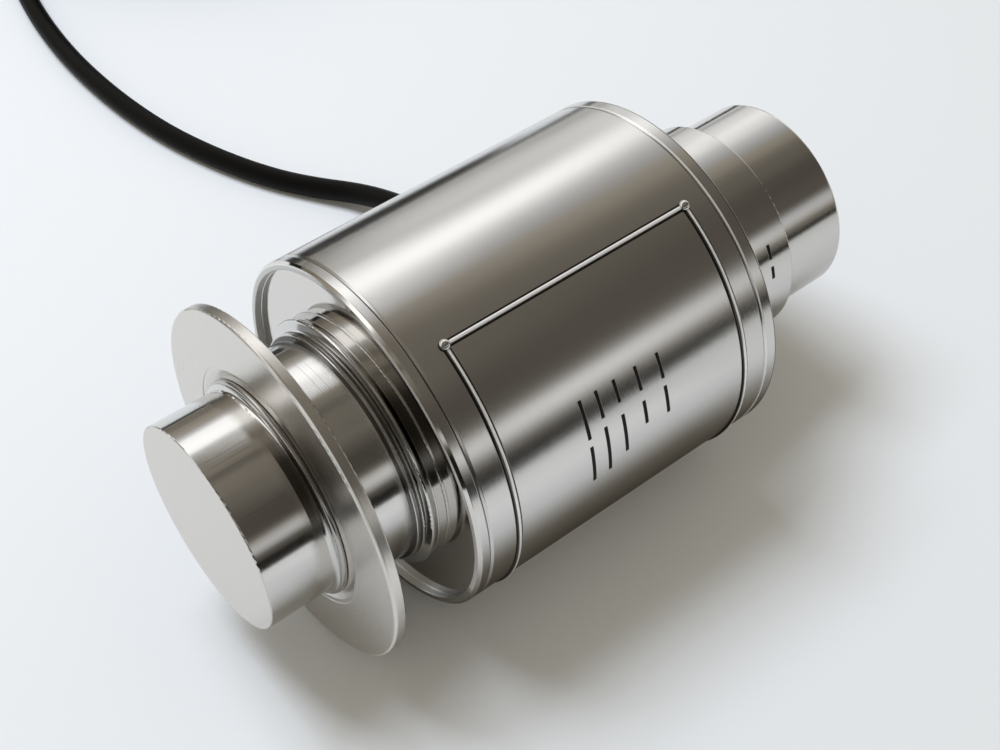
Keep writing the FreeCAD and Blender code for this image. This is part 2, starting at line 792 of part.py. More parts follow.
def coil_set():
    """The coil's outer shape with its lead-in and tail, and the ties round it."""
    centre, heading = coil_centre()
    inner = coil_inner_turn - cable_radius
    outer = coil_outer_turn + cable_radius
    section = [
        (inner, coil_bottom, coil_corner),
        (outer, coil_bottom, coil_corner),
        (outer, coil_top, coil_corner),
        (inner, coil_top, coil_corner),
    ]
    ring = flat_face(section).revolve(V(0, 0, 0), V(0, 0, 1), 360)
    ring.translate(centre)
    lead = straight(V(*cable_route[-1]), heading, coil_lead_in, cable_radius)
    tail = Part.makeTorus(tail_radius, cable_radius, V(0, 0, 0), V(0, 0, 1), -180, 180, tail_sweep)
    tail.rotate(V(0, 0, 0), V(0, 0, 1), tail_start)
    tail.translate(V(centre.x, centre.y, tail_height))
    coil = ring.fuse(lead).fuse(tail)

    band_face = flat_face([
        (inner - tie_thickness, coil_bottom - tie_thickness, coil_corner + tie_thickness),
        (outer + tie_thickness, coil_bottom - tie_thickness, coil_corner + tie_thickness),
        (outer + tie_thickness, coil_top + tie_thickness, coil_corner + tie_thickness),
        (inner - tie_thickness, coil_top + tie_thickness, coil_corner + tie_thickness),
    ])
    band_face.translate(V(0, -tie_width / 2, 0))
    core = flat_face(section)
    core.rotate(V(0, 0, 0), V(0, 0, 1), -tie_core_sector / 2)
    core = core.revolve(V(0, 0, 0), V(0, 0, 1), tie_core_sector)
    band = band_face.extrude(V(0, tie_width, 0)).cut(core)
    ties = []
    for angle in tie_angles:
        tie = band.copy()
        tie.rotate(V(0, 0, 0), V(0, 0, 1), angle)
        tie.translate(centre)
        ties.append(tie)
    nodes["cable_coil"] = coil
    nodes["coil_ties"] = Part.makeCompound(ties)

    end = math.radians(tail_start)
    tail_end = V(centre.x + tail_radius * math.cos(end), centre.y + tail_radius * math.sin(end), tail_height)
    return tail_end, V(math.sin(end), -math.cos(end), 0)


def cable_end(start, direction):
    """The stripped end on top of the coil: shrink sleeve, fanned cores and ferrules."""
    across = V(0, 0, 1).cross(direction)
    turn = math.degrees(math.atan2(direction.y, direction.x))
    sleeve = flat_face([
        (0, 0),
        (0, end_sleeve_radius, end_sleeve_round),
        (end_sleeve_body, end_sleeve_radius, end_sleeve_taper_round),
        (end_sleeve_length, end_sleeve_tip, end_sleeve_round),
        (end_sleeve_length, 0),
    ]).revolve(V(0, 0, 0), V(1, 0, 0), 360)
    sleeve.rotate(V(0, 0, 0), V(0, 0, 1), turn)
    sleeve.translate(start)
    nodes["end_sleeve"] = sleeve

    mouth = start + direction * end_sleeve_length
    rest_height = coil_top + ferrule_radius
    cores = []
    ferrules = []
    for index in range(core_count):
        side = index - (core_count - 1) / 2
        first = mouth + across * (side * core_pitch)
        second = first + direction * core_first_run + across * (side * core_first_fan)
        second.z = mouth.z + (rest_height - mouth.z) * core_fall_share
        third = second + direction * core_second_run + across * (side * core_second_fan)
        third.z = rest_height
        fourth = third + direction * core_last_run + across * (side * core_last_fan)
        cores.append(tube_along([tuple(first), tuple(second), tuple(third), tuple(fourth)], core_radius)[0])
        pointing = (fourth - third).normalize()
        ferrules.append(straight(fourth, pointing, ferrule_length, ferrule_radius))
    nodes["conductors"] = Part.makeCompound(cores)
    nodes["conductor_ferrules"] = Part.makeCompound(ferrules)


def build():
    """Builds every node and writes one file for each."""
    load_column()
    base_disc()
    disc_retaining_ring()
    bellows()
    bellows_outer_ring()
    lower_end_plate()
    housing_tube()
    upper_end_plate()
    upper_diaphragm()
    panel_frame()
    cable_boss()
    sleeve_end = gland_set()
    inner_lead(sleeve_end)
    strain_gauges()
    terminal_board()
    cable(sleeve_end)
    tail_end, direction = coil_set()
    cable_end(tail_end, direction)
    os.makedirs("parts", exist_ok=True)
    for name, shape in nodes.items():
        shape.exportStep("parts/" + name + ".step")
    print(len(nodes), "nodes")
    print("sleeve tip", gland_point(sleeve_end))


build()
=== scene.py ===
from dataclasses import dataclass, field
from enum import Enum
import logging
import math
from typing import Any, Callable, Optional, Sequence

import bmesh
import bpy
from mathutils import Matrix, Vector


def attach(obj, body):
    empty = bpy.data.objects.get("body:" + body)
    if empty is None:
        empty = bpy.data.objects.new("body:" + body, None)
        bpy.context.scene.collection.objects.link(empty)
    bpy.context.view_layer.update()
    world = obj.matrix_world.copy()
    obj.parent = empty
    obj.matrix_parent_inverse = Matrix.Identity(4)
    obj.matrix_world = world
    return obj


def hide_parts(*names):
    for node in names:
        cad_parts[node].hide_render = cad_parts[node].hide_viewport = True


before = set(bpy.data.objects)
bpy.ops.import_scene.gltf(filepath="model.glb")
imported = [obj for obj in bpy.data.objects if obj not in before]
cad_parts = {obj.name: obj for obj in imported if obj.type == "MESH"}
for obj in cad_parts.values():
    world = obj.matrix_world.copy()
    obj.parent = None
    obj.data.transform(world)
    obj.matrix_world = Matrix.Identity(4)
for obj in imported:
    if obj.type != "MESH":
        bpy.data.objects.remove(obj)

log = logging.getLogger("load_cell")

Colour = tuple[float, float, float]
Span = tuple[float, float]

# Sizes that scene and frame share, in metres
HALF_LENGTH = 0.075
AXIS_HEIGHT = 0.03875
TO_MM = 1000.0

# Tints of painted shadows and painted highlights on edges too thin to reflect on their own, and of joints and
# fine marks
SHADE: Colour = (0.1, 0.09, 0.08)
DEEP_SHADE_AND_JOINT: Colour = (0.08, 0.07, 0.065)
SOFT_SHADE: Colour = (0.12, 0.11, 0.1)
FAINT_LINE: Colour = (0.42, 0.41, 0.4)
LIP_GLEAM: Colour = (0.85, 0.84, 0.82)
EDGE_GLEAM: Colour = (0.92, 0.91, 0.89)


class Brush(Enum):
    """The way in which the fine lines of a steel finish run."""

    AROUND = "around the axis"
    ALONG = "along the axis"


class Socket:
    """A socket of a shader tree, which takes part in plain expressions."""

    def __init__(self, shader: "Shader", link: Any) -> None:
        """Wraps an output.

        Args:
            shader: The builder of the tree that the output belongs to.
            link: The output itself.
        """
        self.shader = shader
        self.link = link

    def math(self, operation: str, *others: Any, clamp: bool = False) -> "Socket":
        """Adds a Math node.

        Args:
            operation: The Math node's operation.
            others: Further numbers or sockets.
            clamp: Whether the result is held between 0 and 1.

        Returns:
            The result.
        """
        values = dict(enumerate((self, *others)))
        return self.shader.node("ShaderNodeMath", {"operation": operation, "use_clamp": clamp}, values)

    def __add__(self, other: Any) -> "Socket":
        """Sum."""
        return self.math("ADD", other)

    def __sub__(self, other: Any) -> "Socket":
        """Difference."""
        return self.math("SUBTRACT", other)

    def __mul__(self, other: Any) -> "Socket":
        """Product."""
        return self.math("MULTIPLY", other)

    def __truediv__(self, other: Any) -> "Socket":
        """Quotient."""
        return self.math("DIVIDE", other)

    def __neg__(self) -> "Socket":
        """Opposite value."""
        return self.math("MULTIPLY", -1.0)

    def __rsub__(self, other: float) -> "Socket":
        """Difference from a plain number."""
        return -self + other

    def __rtruediv__(self, other: float) -> "Socket":
        """Quotient of a plain number."""
        return self.math("POWER", -1.0) * other

    __radd__ = __add__
    __rmul__ = __mul__

    def above(self, limit: Any) -> "Socket":
        """1 where the value is over the limit, else 0."""
        return self.math("GREATER_THAN", limit)

    def below(self, limit: Any) -> "Socket":
        """1 where the value is under the limit, else 0."""
        return self.math("LESS_THAN", limit)

    def size(self) -> "Socket":
        """The value without its sign."""
        return self.math("ABSOLUTE")

    def larger(self, other: Any) -> "Socket":
        """The larger of two values."""
        return self.math("MAXIMUM", other)

    def clamped(self) -> "Socket":
        """The value held between 0 and 1."""
        return self.math("ADD", 0.0, clamp=True)

    def bearing(self, up: "Socket") -> "Socket":
        """The angle in degrees from the direction of up towards this value's direction."""
        return self.math("ARCTAN2", up) * (180 / math.pi)

    def rise(self, start: float, end: float) -> "Socket":
        """A smooth step from 0 at start to 1 at end."""
        return self.shader.node(
            "ShaderNodeMapRange",
            {"interpolation_type": "SMOOTHSTEP", "clamp": True},
            {"Value": self, "From Min": start, "From Max": end, "To Min": 0.0, "To Max": 1.0},
        )

    def within(self, span: Span, soft: float) -> "Socket":
        """1 inside a span, with edges that fade over twice the soft width."""
        low, high = span
        return self.rise(low - soft, low + soft) * (1 - self.rise(high - soft, high + soft))


class Shader:
    """Builds one node tree."""

    def __init__(self, tree: bpy.types.NodeTree) -> None:
        """Empties the tree of a material or world.

        Args:
            tree: The node tree.
        """
        self.tree = tree
        tree.nodes.clear()

    def node(
        self,
        kind: str,
        settings: Optional[dict[str, Any]] = None,
        values: Optional[dict[Any, Any]] = None,
        output: Any = 0,
    ) -> Socket:
        """Adds one node.

        Args:
            kind: The node's type.
            settings: Properties that are set first.
            values: Socket name or index to a number, colour or Socket.
            output: Name or index of the output that is returned.

        Returns:
            The chosen output.
        """
        made = self.tree.nodes.new(kind)
        for key, value in (settings or {}).items():
            setattr(made, key, value)
        for key, value in (values or {}).items():
            if isinstance(value, Socket):
                self.tree.links.new(value.link, made.inputs[key])
            else:
                made.inputs[key].default_value = value
        return Socket(self, made.outputs[output] if made.outputs else None)

    def split(self, vector: Socket) -> tuple[Socket, Socket, Socket]:
        """The three parts of a vector."""
        outputs = self.node("ShaderNodeSeparateXYZ", None, {0: vector}).link.node.outputs
        return Socket(self, outputs[0]), Socket(self, outputs[1]), Socket(self, outputs[2])

    def join(self, x: Any, y: Any, z: Any) -> Socket:
        """Three numbers as a vector."""
        return self.node("ShaderNodeCombineXYZ", None, {0: x, 1: y, 2: z})

    def point(self) -> Socket:
        """The surface point in the row frame."""
        return self.node("ShaderNodeTexCoord", output="Object")

    def noise(self, vector: Socket, scale: float, detail: float = 2.0, rough: float = 0.5) -> Socket:
        """A noise value of about 0 to 1."""
        values = {"Vector": vector, "Scale": scale, "Detail": detail, "Roughness": rough}
        return self.node("ShaderNodeTexNoise", {"noise_dimensions": "3D"}, values)

    def ramp(self, value: Socket, stops: Sequence[tuple[float, Colour]], constant: bool = False) -> Socket:
        """A colour ramp.

        Args:
            value: The value from 0 to 1 that picks the colour.
            stops: Pairs of place and colour, in order.
            constant: Whether each colour holds until the next place.

        Returns:
            The colour.
        """
        made = self.node("ShaderNodeValToRGB", None, {0: value})
        ramp = made.link.node.color_ramp
        ramp.interpolation = "CONSTANT" if constant else "LINEAR"
        ramp.elements.remove(ramp.elements[-1])
        for index, (place, colour) in enumerate(stops):
            element = ramp.elements.new(place) if index else ramp.elements[0]
            element.position = place
            element.color = rgba(colour)
        return made

    def mix(self, share: Any, first: Any, second: Any) -> Socket:
        """A mix of two colours or colour sockets."""
        values = {0: share, 6: rgba(first), 7: rgba(second)}
        return self.node("ShaderNodeMix", {"data_type": "RGBA"}, values, output=2)

    def bump(self, height: Socket, strength: float, normal: Optional[Socket] = None) -> Socket:
        """A bump normal from a height.

        Args:
            height: The height, 0 to 1.
            strength: How strongly it counts.
            normal: The normal that it is added to, or None for the surface's own.

        Returns:
            The normal.
        """
        values: dict[Any, Any] = {"Height": height, "Strength": strength, "Distance": 0.0001}
        if normal:
            values["Normal"] = normal
        return self.node("ShaderNodeBump", None, values)

    def surface(self, **values: Any) -> None:
        """Adds the surface shader and its output.

        Args:
            values: Numbers, colours or sockets by input name, with _ for a space.
        """
        named = {key.replace("_", " "): rgba(value) for key, value in values.items()}
        shader = self.node("ShaderNodeBsdfPrincipled", None, named)
        self.node("ShaderNodeOutputMaterial", None, {0: shader})


def rgba(value: Any) -> Any:
    """Adds an alpha of 1 to a plain colour and leaves all else as it is."""
    return (*value, 1.0) if isinstance(value, tuple) and len(value) == 3 else value


def grey(level: float, warmth: float = 0.0) -> Colour:
    """A grey, which a warmth of up to 1 turns towards brown."""
    return (level, level * (1 - 0.1 * warmth), level * (1 - 0.25 * warmth))


def new_material(name: str) -> tuple[bpy.types.Material, Shader]:
    """Makes an empty material.

    Args:
        name: Its name.

    Returns:
        The material and the builder of its tree.
    """
    material = bpy.data.materials.new(name)
    material.use_nodes = True
    return material, Shader(material.node_tree)


def dress(node: str, material: bpy.types.Material) -> None:
    """Gives a node of the frame its finish on every slot.

    Args:
        node: The node's name.
        material: The finish.
    """
    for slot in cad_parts[node].material_slots:
        slot.material = material
    log.info("%s dressed with %s", node, material.name)


@dataclass(frozen=True)
class AxisPlace:
    """A surface point round the load axis.

    Station and radius are in mm, the angle in degrees from the top towards the front. Side and up
    are the parts of the direction from the axis to the point.
    """

    station: Socket
    radius: Socket
    angle: Socket
    side: Socket
    up: Socket

    @classmethod
    def of(cls, shader: Shader) -> "AxisPlace":
        """Places the surface point of a material.

        Args:
            shader: The material's builder.

        Returns:
            The point's place.
        """
        x, y, z = shader.split(shader.point())
        up = z - AXIS_HEIGHT
        radius = (y * y + up * up).math("SQRT")
        return cls((x + HALF_LENGTH) * TO_MM, radius * TO_MM, (-y).bearing(up), y / radius, up / radius)


@dataclass(frozen=True)
class Zone:
    """A part of a turned piece whose finish differs, or that carries painted shade or a painted highlight;
    spans left out don't limit it.
    """

    tint: Colour
    roughness: float = 0.2
    metallic: float = 1.0
    station: Optional[Span] = None
    radius: Optional[Span] = None
    angle: Optional[Span] = None
    soft: float = 0.05
    soft_angle: float = 4.0

    def cover(self, place: AxisPlace) -> Socket:
        """How far the zone holds at a place.

        Args:
            place: The surface point.

        Returns:
            A share of 0 to 1.
        """
        limits = (
            (place.station, self.station, self.soft),
            (place.radius, self.radius, self.soft),
            (place.angle, self.angle, self.soft_angle),
        )
        return math.prod(value.within(span, soft) for value, span, soft in limits if span)


# A function that gives the share of an engraved mark, or of a painted shade line, at a place
EngravingAndShadeLine = Callable[[AxisPlace], Socket]


@dataclass(frozen=True)
class TurnedSteel:
    """Stainless steel with the fine lines that turning or brushing leaves.

    Lines and clouds are noises that are stretched along the brush. Normals within the angles whose
    cosines are seam_match count as those of a turned face.
    """

    name: str
    tint: Colour = (0.66, 0.65, 0.63)
    roughness: float = 0.16
    roughness_spread: float = 0.05
    brush: Brush = Brush.AROUND
    line_scale: float = 9.0
    line_stretch: float = 0.02
    line_detail: float = 3.0
    line_fineness: float = 0.7
    line_bump: float = 0.08
    cloud: float = 0.03
    cloud_scale: float = 0.06
    cloud_stretch: float = 0.3
    tone_reach: float = 0.3
    zones: Sequence[Zone] = ()
    # Tint and roughness of engraved marks and of painted shade lines
    engraved_and_shade_tint: Colour = (0.03, 0.028, 0.025)
    engraved_and_shade_roughness: float = 0.6
    turned: bool = True
    seam_match: Span = (0.99, 0.995)

    def outward(self, shader: Shader, place: AxisPlace) -> Optional[Socket]:
        """The normal of a turned face, pointing straight away from the load axis.

        At the seam of a turned face the mesh's own normals are off by half a facet. Faces whose
        normal points elsewhere keep it.

        Args:
            shader: The material's builder.
            place: The surface point.

        Returns:
            The normal, or None for a piece that isn't turned.
        """
        if not self.turned:
            return None
        own_x, own_y, own_z = shader.split(shader.node("ShaderNodeNewGeometry", output="Normal"))
        slope = own_y * place.side + own_z * place.up
        reach = (own_y * own_y + own_z * own_z).math("SQRT")
        share = (own_x * own_x + reach * slope.size()).rise(*self.seam_match)
        reach = reach * slope.math("SIGN")
        return shader.join(
            own_x,
            own_y + share * (reach * place.side - own_y),
            own_z + share * (reach * place.up - own_z),
        )

    def lines(self, shader: Shader, place: AxisPlace) -> Socket:
        """The brushing lines' value.

        Args:
            shader: The material's builder.
            place: The surface point.

        Returns:
            A value of about 0 to 1.
        """
        if self.brush is Brush.AROUND:
            vector = shader.join(place.station, place.radius, place.angle * self.line_stretch)
        else:
            vector = shader.join(place.station * self.line_stretch, place.radius, place.angle)
        return shader.noise(vector, self.line_scale, self.line_detail, self.line_fineness)

    def build(self, engravings_and_shade_lines: Sequence[EngravingAndShadeLine] = ()) -> bpy.types.Material:
        """Makes the material.

        Args:
            engravings_and_shade_lines: Functions that give the share of dark engraved marks and of painted
                shade lines at a place.

        Returns:
            The material.
        """
        material, shader = new_material(self.name)
        place = AxisPlace.of(shader)
        lines = self.lines(shader, place)
        stretched = shader.join(place.station, place.radius, place.angle * self.cloud_stretch)
        slow = shader.noise(stretched, self.cloud_scale)
        tone = (slow + lines - 1) * self.cloud + 0.5
        dark = tuple(channel * (1 - self.tone_reach) for channel in self.tint)
        light = tuple(min(1.0, channel * (1 + self.tone_reach)) for channel in self.tint)
        colour = shader.mix(tone.clamped(), dark, light)
        rough = (lines - 0.5) * self.roughness_spread + self.roughness
        metallic: Any = 1.0
        for zone in self.zones:
            share = zone.cover(place)
            colour = shader.mix(share, colour, zone.tint)
            rough = rough + share * (zone.roughness - rough)
            if zone.metallic < 1:
                metallic = share * (zone.metallic - 1) + metallic
        # Engraved marks, and painted shade lines beside the bead
        for engraving_or_shade_line in engravings_and_shade_lines:
            share = engraving_or_shade_line(place)
            colour = shader.mix(share, colour, self.engraved_and_shade_tint)
            rough = rough + share * (self.engraved_and_shade_roughness - rough)
        shader.surface(
            Base_Color=colour,
            Metallic=metallic,
            Roughness=rough,
            Normal=shader.bump(lines, self.line_bump, self.outward(shader, place)),
        )
        return material


@dataclass(frozen=True)
class Plain:
    """A moulded, rubber, lacquered or plated finish with a fine grain."""

    name: str
    tint: Colour
    roughness: float = 0.5
    grain_scale: float = 900.0
    grain_bump: float = 0.1
    cloud_size: float = 20.0
    cloud_shade: float = 0.85
    roughness_spread: float = 0.1
    metallic: float = 0.0
    specular: float = 0.5

    def build(self) -> bpy.types.Material:
        """Makes the material.

        Returns:
            The material.
        """
        material, shader = new_material(self.name)
        grain = shader.noise(shader.point(), self.grain_scale)
        cloud = shader.noise(shader.point(), self.grain_scale / self.cloud_size)
        dark = tuple(channel * self.cloud_shade for channel in self.tint)
        shader.surface(
            Base_Color=shader.mix(cloud, dark, self.tint),
            Metallic=self.metallic,
            Specular_IOR_Level=self.specular,
            Roughness=((cloud - 0.5) * self.roughness_spread + self.roughness).clamped(),
            Normal=shader.bump(grain, self.grain_bump),
        )
        return material


@dataclass(frozen=True)
class MarkingField:
    """The bead-framed field on the housing: a shadow line beside the bead, and plain dashes.

    Stations are in mm and angles in degrees.
    """

    station: Span = (45.25, 104.0)
    angle: Span = (25.7, 155.0)
    radius: float = 38.75
    bead_half: float = 0.55
    shadow_line: float = 0.26
    shadow_soft: float = 0.1
    dash_half: float = 0.42
    dash_soft: float = 0.08
    dash_soft_angle: float = 0.15
    rows: Sequence[tuple[float, Sequence[Span]]] = (
        (83.4, ((58.0, 66.5), (69.0, 78.5))),
        (77.8, ((58.0, 66.0), (69.5, 77.5))),
        (72.4, ((58.0, 65.5), (69.5, 83.0))),
        (68.0, ((58.0, 67.0), (70.0, 86.0))),
        (64.0, ((58.0, 71.0), (73.5, 86.5))),
    )
    neck_row: tuple[float, Sequence[Span]] = (127.0, ((57.0, 65.0), (69.0, 76.0)))

    def outline(self, place: AxisPlace) -> Socket:
        """The thin shadow line on either side of the bead.

        Args:
            place: The surface point.

        Returns:
            The line's share, 0 to 1.
        """
        middle = sum(self.station) / 2
        centre = sum(self.angle) / 2
        to_mm = self.radius * math.pi / 180
        along = (place.station - middle).size() - (self.station[1] - middle)
        around = ((place.angle - centre).size() - (self.angle[1] - centre)) * to_mm
        gap = along.larger(around).size()
        span = (self.bead_half - self.shadow_soft, self.bead_half + self.shadow_line)
        return gap.within(span, self.shadow_soft)

    def row(self, place: AxisPlace, station: float, dashes: Sequence[Span]) -> Socket:
        """One row of dashes round the axis.

        Args:
            place: The surface point.
            station: The row's station.
            dashes: The dashes' angles.

        Returns:
            The dashes' share, 0 to 1.
        """
        share = sum(place.angle.within(dash, self.dash_soft_angle) for dash in dashes)
        width = (station - self.dash_half, station + self.dash_half)
        return share * place.station.within(width, self.dash_soft)

    def field_rows(self, place: AxisPlace) -> Socket:
        """All rows inside the frame."""
        return sum(self.row(place, station, dashes) for station, dashes in self.rows)

    def neck_mark(self, place: AxisPlace) -> Socket:
        """The short row on the column's upper neck."""
        return self.row(place, *self.neck_row)


def scratches(angles: Sequence[float], half: float = 0.12) -> tuple[Zone, ...]:
    """Faint lines along the base stub.

    Args:
        angles: Where they run.
        half: Half the width of each in degrees.

    Returns:
        One zone a line.
    """
    spans = [(angle - half, angle + half) for angle in angles]
    return tuple(
        Zone((0.4, 0.39, 0.37), station=(1.5, 11.0), angle=span, soft=0.6, soft_angle=half)
        for span in spans
    )


@dataclass
class Cell:
    """The turned and welded steel pieces."""

    marking: MarkingField = MarkingField()
    column: TurnedSteel = TurnedSteel(
        "column_steel_turned",
        roughness=0.12,
        line_bump=0.05,
        zones=(
            # Ground load face
            Zone((0.73, 0.70, 0.655), 0.34, station=(-1.0, 0.05)),
            # Shadow of the disc's ring on the base stub
            Zone(SHADE, 0.3, station=(12.4, 15.2), angle=(20.0, 62.0), soft_angle=8.0),
            # Two turning marks on the lower neck, then marks along the base stub
            Zone(FAINT_LINE, 0.16, station=(26.4, 26.5), angle=(-12.0, 10.0), soft=0.03),
            Zone(FAINT_LINE, 0.16, station=(28.0, 28.08), angle=(-10.0, 12.0), soft=0.03),
            *scratches((-21.0, -14.0, 8.0, 12.0, 16.0, 40.0)),
        ),
    )
    disc: TurnedSteel = TurnedSteel(
        "disc_steel_turned",
        tint=(0.71, 0.685, 0.645),
        roughness=0.28,
        line_bump=0.15,
        zones=(
            # Painted shade in the groove and a painted highlight on the lip round the bore
            Zone(SHADE, 0.3, station=(16.0, 17.5), radius=(24.1, 25.3), angle=(10.0, 62.0), soft=0.1),
            Zone(LIP_GLEAM, 0.3, station=(16.0, 17.5), radius=(26.3, 26.55), angle=(20.0, 170.0)),
            # Painted highlight on the front edge and painted shade on the back edge of the rim
            Zone(LIP_GLEAM, 0.35, 0.4, station=(16.2, 16.75), radius=(38.1, 38.6), angle=(16.0, 175.0)),
            Zone((0.36, 0.35, 0.33), 0.3, station=(18.7, 19.0), soft=0.03),
        ),
    )
    housing: TurnedSteel = TurnedSteel(
        "housing_steel_satin",
        roughness=0.17,
        line_bump=0.1,
        cloud=0.05,
        # Joint to the upper plate
        zones=(Zone(DEEP_SHADE_AND_JOINT, 0.3, station=(109.45, 110.0)),),
    )
    lower_plate: TurnedSteel = TurnedSteel(
        "plate_steel_mirror",
        tint=(0.70, 0.675, 0.64),
        roughness=0.07,
        line_bump=0.02,
        zones=(
            # Painted shade in the corner of the recess and painted light on its wall
            Zone(SHADE, 0.3, station=(37.0, 37.4), radius=(36.5, 37.05), angle=(15.0, 65.0)),
            Zone((0.85, 0.85, 0.84), 0.3, 0.4, station=(35.8, 37.1), radius=(36.8, 37.1)),
            # Painted highlight on the lip
            Zone(
                (0.9, 0.89, 0.87), 0.35, 0.4,
                station=(35.5, 35.78), radius=(36.9, 38.1), angle=(5.0, 110.0),
            ),
            # Painted light on the recess wall and lip on the back half
            Zone(
                (0.8, 0.8, 0.78), 0.3, 0.3,
                station=(35.4, 37.2), radius=(36.5, 38.3), angle=(-150.0, -15.0), soft_angle=8.0,
            ),
            # Satin rim with its joint to the housing
            Zone((0.66, 0.65, 0.63), 0.17, station=(36.4, 39.5), radius=(38.2, 38.8)),
            Zone((0.14, 0.13, 0.12), 0.3, station=(38.15, 38.6), radius=(38.2, 38.72)),
        ),
    )
    upper_plate: TurnedSteel = TurnedSteel(
        "plate_steel_satin",
        roughness=0.15,
        zones=(
            # Painted shade line and painted highlight on the edge at the far face, painted highlight on the
            # edge at the joint
            Zone(DEEP_SHADE_AND_JOINT, 0.3, station=(112.6, 112.85), radius=(38.3, 38.8)),
            Zone(EDGE_GLEAM, 0.3, 0.5, station=(112.95, 113.2), radius=(38.2, 38.8)),
            Zone(EDGE_GLEAM, 0.3, 0.6, station=(110.1, 110.4), radius=(38.3, 38.8)),
        ),
    )
    bellows: TurnedSteel = TurnedSteel(
        "bellows_steel_bright",
        roughness=0.1,
        line_bump=0.03,
        zones=(
            # Painted shade on both sides of the weld ring
            Zone(SOFT_SHADE, 0.3, station=(30.8, 31.2)),
            Zone(SOFT_SHADE, 0.3, station=(32.0, 32.6)),
            # Painted shade on the root and sleeve, where they face the recess
            Zone(SHADE, 0.25, station=(34.0, 38.0), angle=(22.0, 60.0), soft_angle=10.0),
        ),
    )
    ring: TurnedSteel = TurnedSteel(
        "ring_steel_drawn",
        tint=(0.47, 0.46, 0.44),
        roughness=0.2,
        line_bump=0.02,
    )
    trim: TurnedSteel = TurnedSteel("trim_steel_bright", roughness=0.12, line_bump=0.02)
    boss: TurnedSteel = TurnedSteel("boss_steel_bright", roughness=0.14, line_bump=0.02, turned=False)
    stud: TurnedSteel = TurnedSteel(
        "stud_steel_bright",
        roughness=0.12,
        line_bump=0.02,
        turned=False,
        # Painted shade round the foot
        zones=(Zone(SHADE, 0.3, radius=(38.5, 39.25), soft=0.08),),
    )
    bead: TurnedSteel = TurnedSteel(
        "bead_steel_drawn",
        tint=(0.7, 0.69, 0.67),
        roughness=0.24,
        brush=Brush.ALONG,
        line_bump=0.02,
        turned=False,
        zones=(
            # Painted highlight on the crown and painted shade on the flanks
            Zone((0.96, 0.95, 0.93), 0.3, 0.5, radius=(39.19, 39.5), soft=0.03),
            Zone(SHADE, 0.3, radius=(38.5, 39.13), soft=0.03),
        ),
    )

    def dress(self) -> None:
        """Dresses the frame's steel nodes."""
        dress("load_column", self.column.build([self.marking.neck_mark]))
        dress("base_disc", self.disc.build())
        dress("housing_tube", self.housing.build([self.marking.outline, self.marking.field_rows]))
        dress("lower_end_plate", self.lower_plate.build())
        dress("upper_end_plate", self.upper_plate.build())
        bellows = self.bellows.build()
        trim = self.trim.build()
        for node in ("bellows", "upper_diaphragm"):
            dress(node, bellows)
        for node in ("bellows_weld_ring", "bellows_outer_ring"):
            dress(node, trim)
        dress("panel_frame_bead", self.bead.build())
        dress("panel_corner_studs", self.stud.build())
        dress("disc_retaining_ring", self.ring.build())
        dress("cable_boss", self.boss.build())


